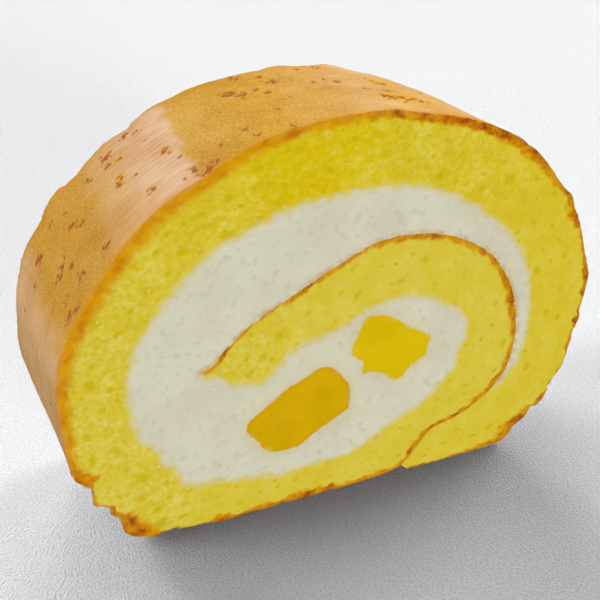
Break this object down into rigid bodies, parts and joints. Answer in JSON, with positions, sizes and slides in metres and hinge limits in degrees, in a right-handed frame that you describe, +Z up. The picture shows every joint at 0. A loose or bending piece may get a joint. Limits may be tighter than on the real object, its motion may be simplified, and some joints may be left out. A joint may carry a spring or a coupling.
{
  "type": "swiss roll cake",
  "caption": "Slice of swiss roll: yellow sponge with a browned skin, rolled round whipped cream with fruit in it, standing on its flattened underside.",
  "frame": {"origin": "centre of the slice's footprint, on the flat underside of the roll", "axes": "+X to the right across the cut face, +Y from the front cut to the back cut along the roll, +Z up"},
  "size_m": [0.0922, 0.0294, 0.0646],
  "materials": {
    "sponge": "matte open crumb with a browned skin",
    "cream": "soft satin",
    "fruit_left": "moist and glossy",
    "fruit_right": "moist and glossy"
  },
  "bodies": {
    "root": {"sponge": "sponge", "cream": "cream", "fruit_left": "fruit_left", "fruit_right": "fruit_right"}
  },
  "joints": []
}
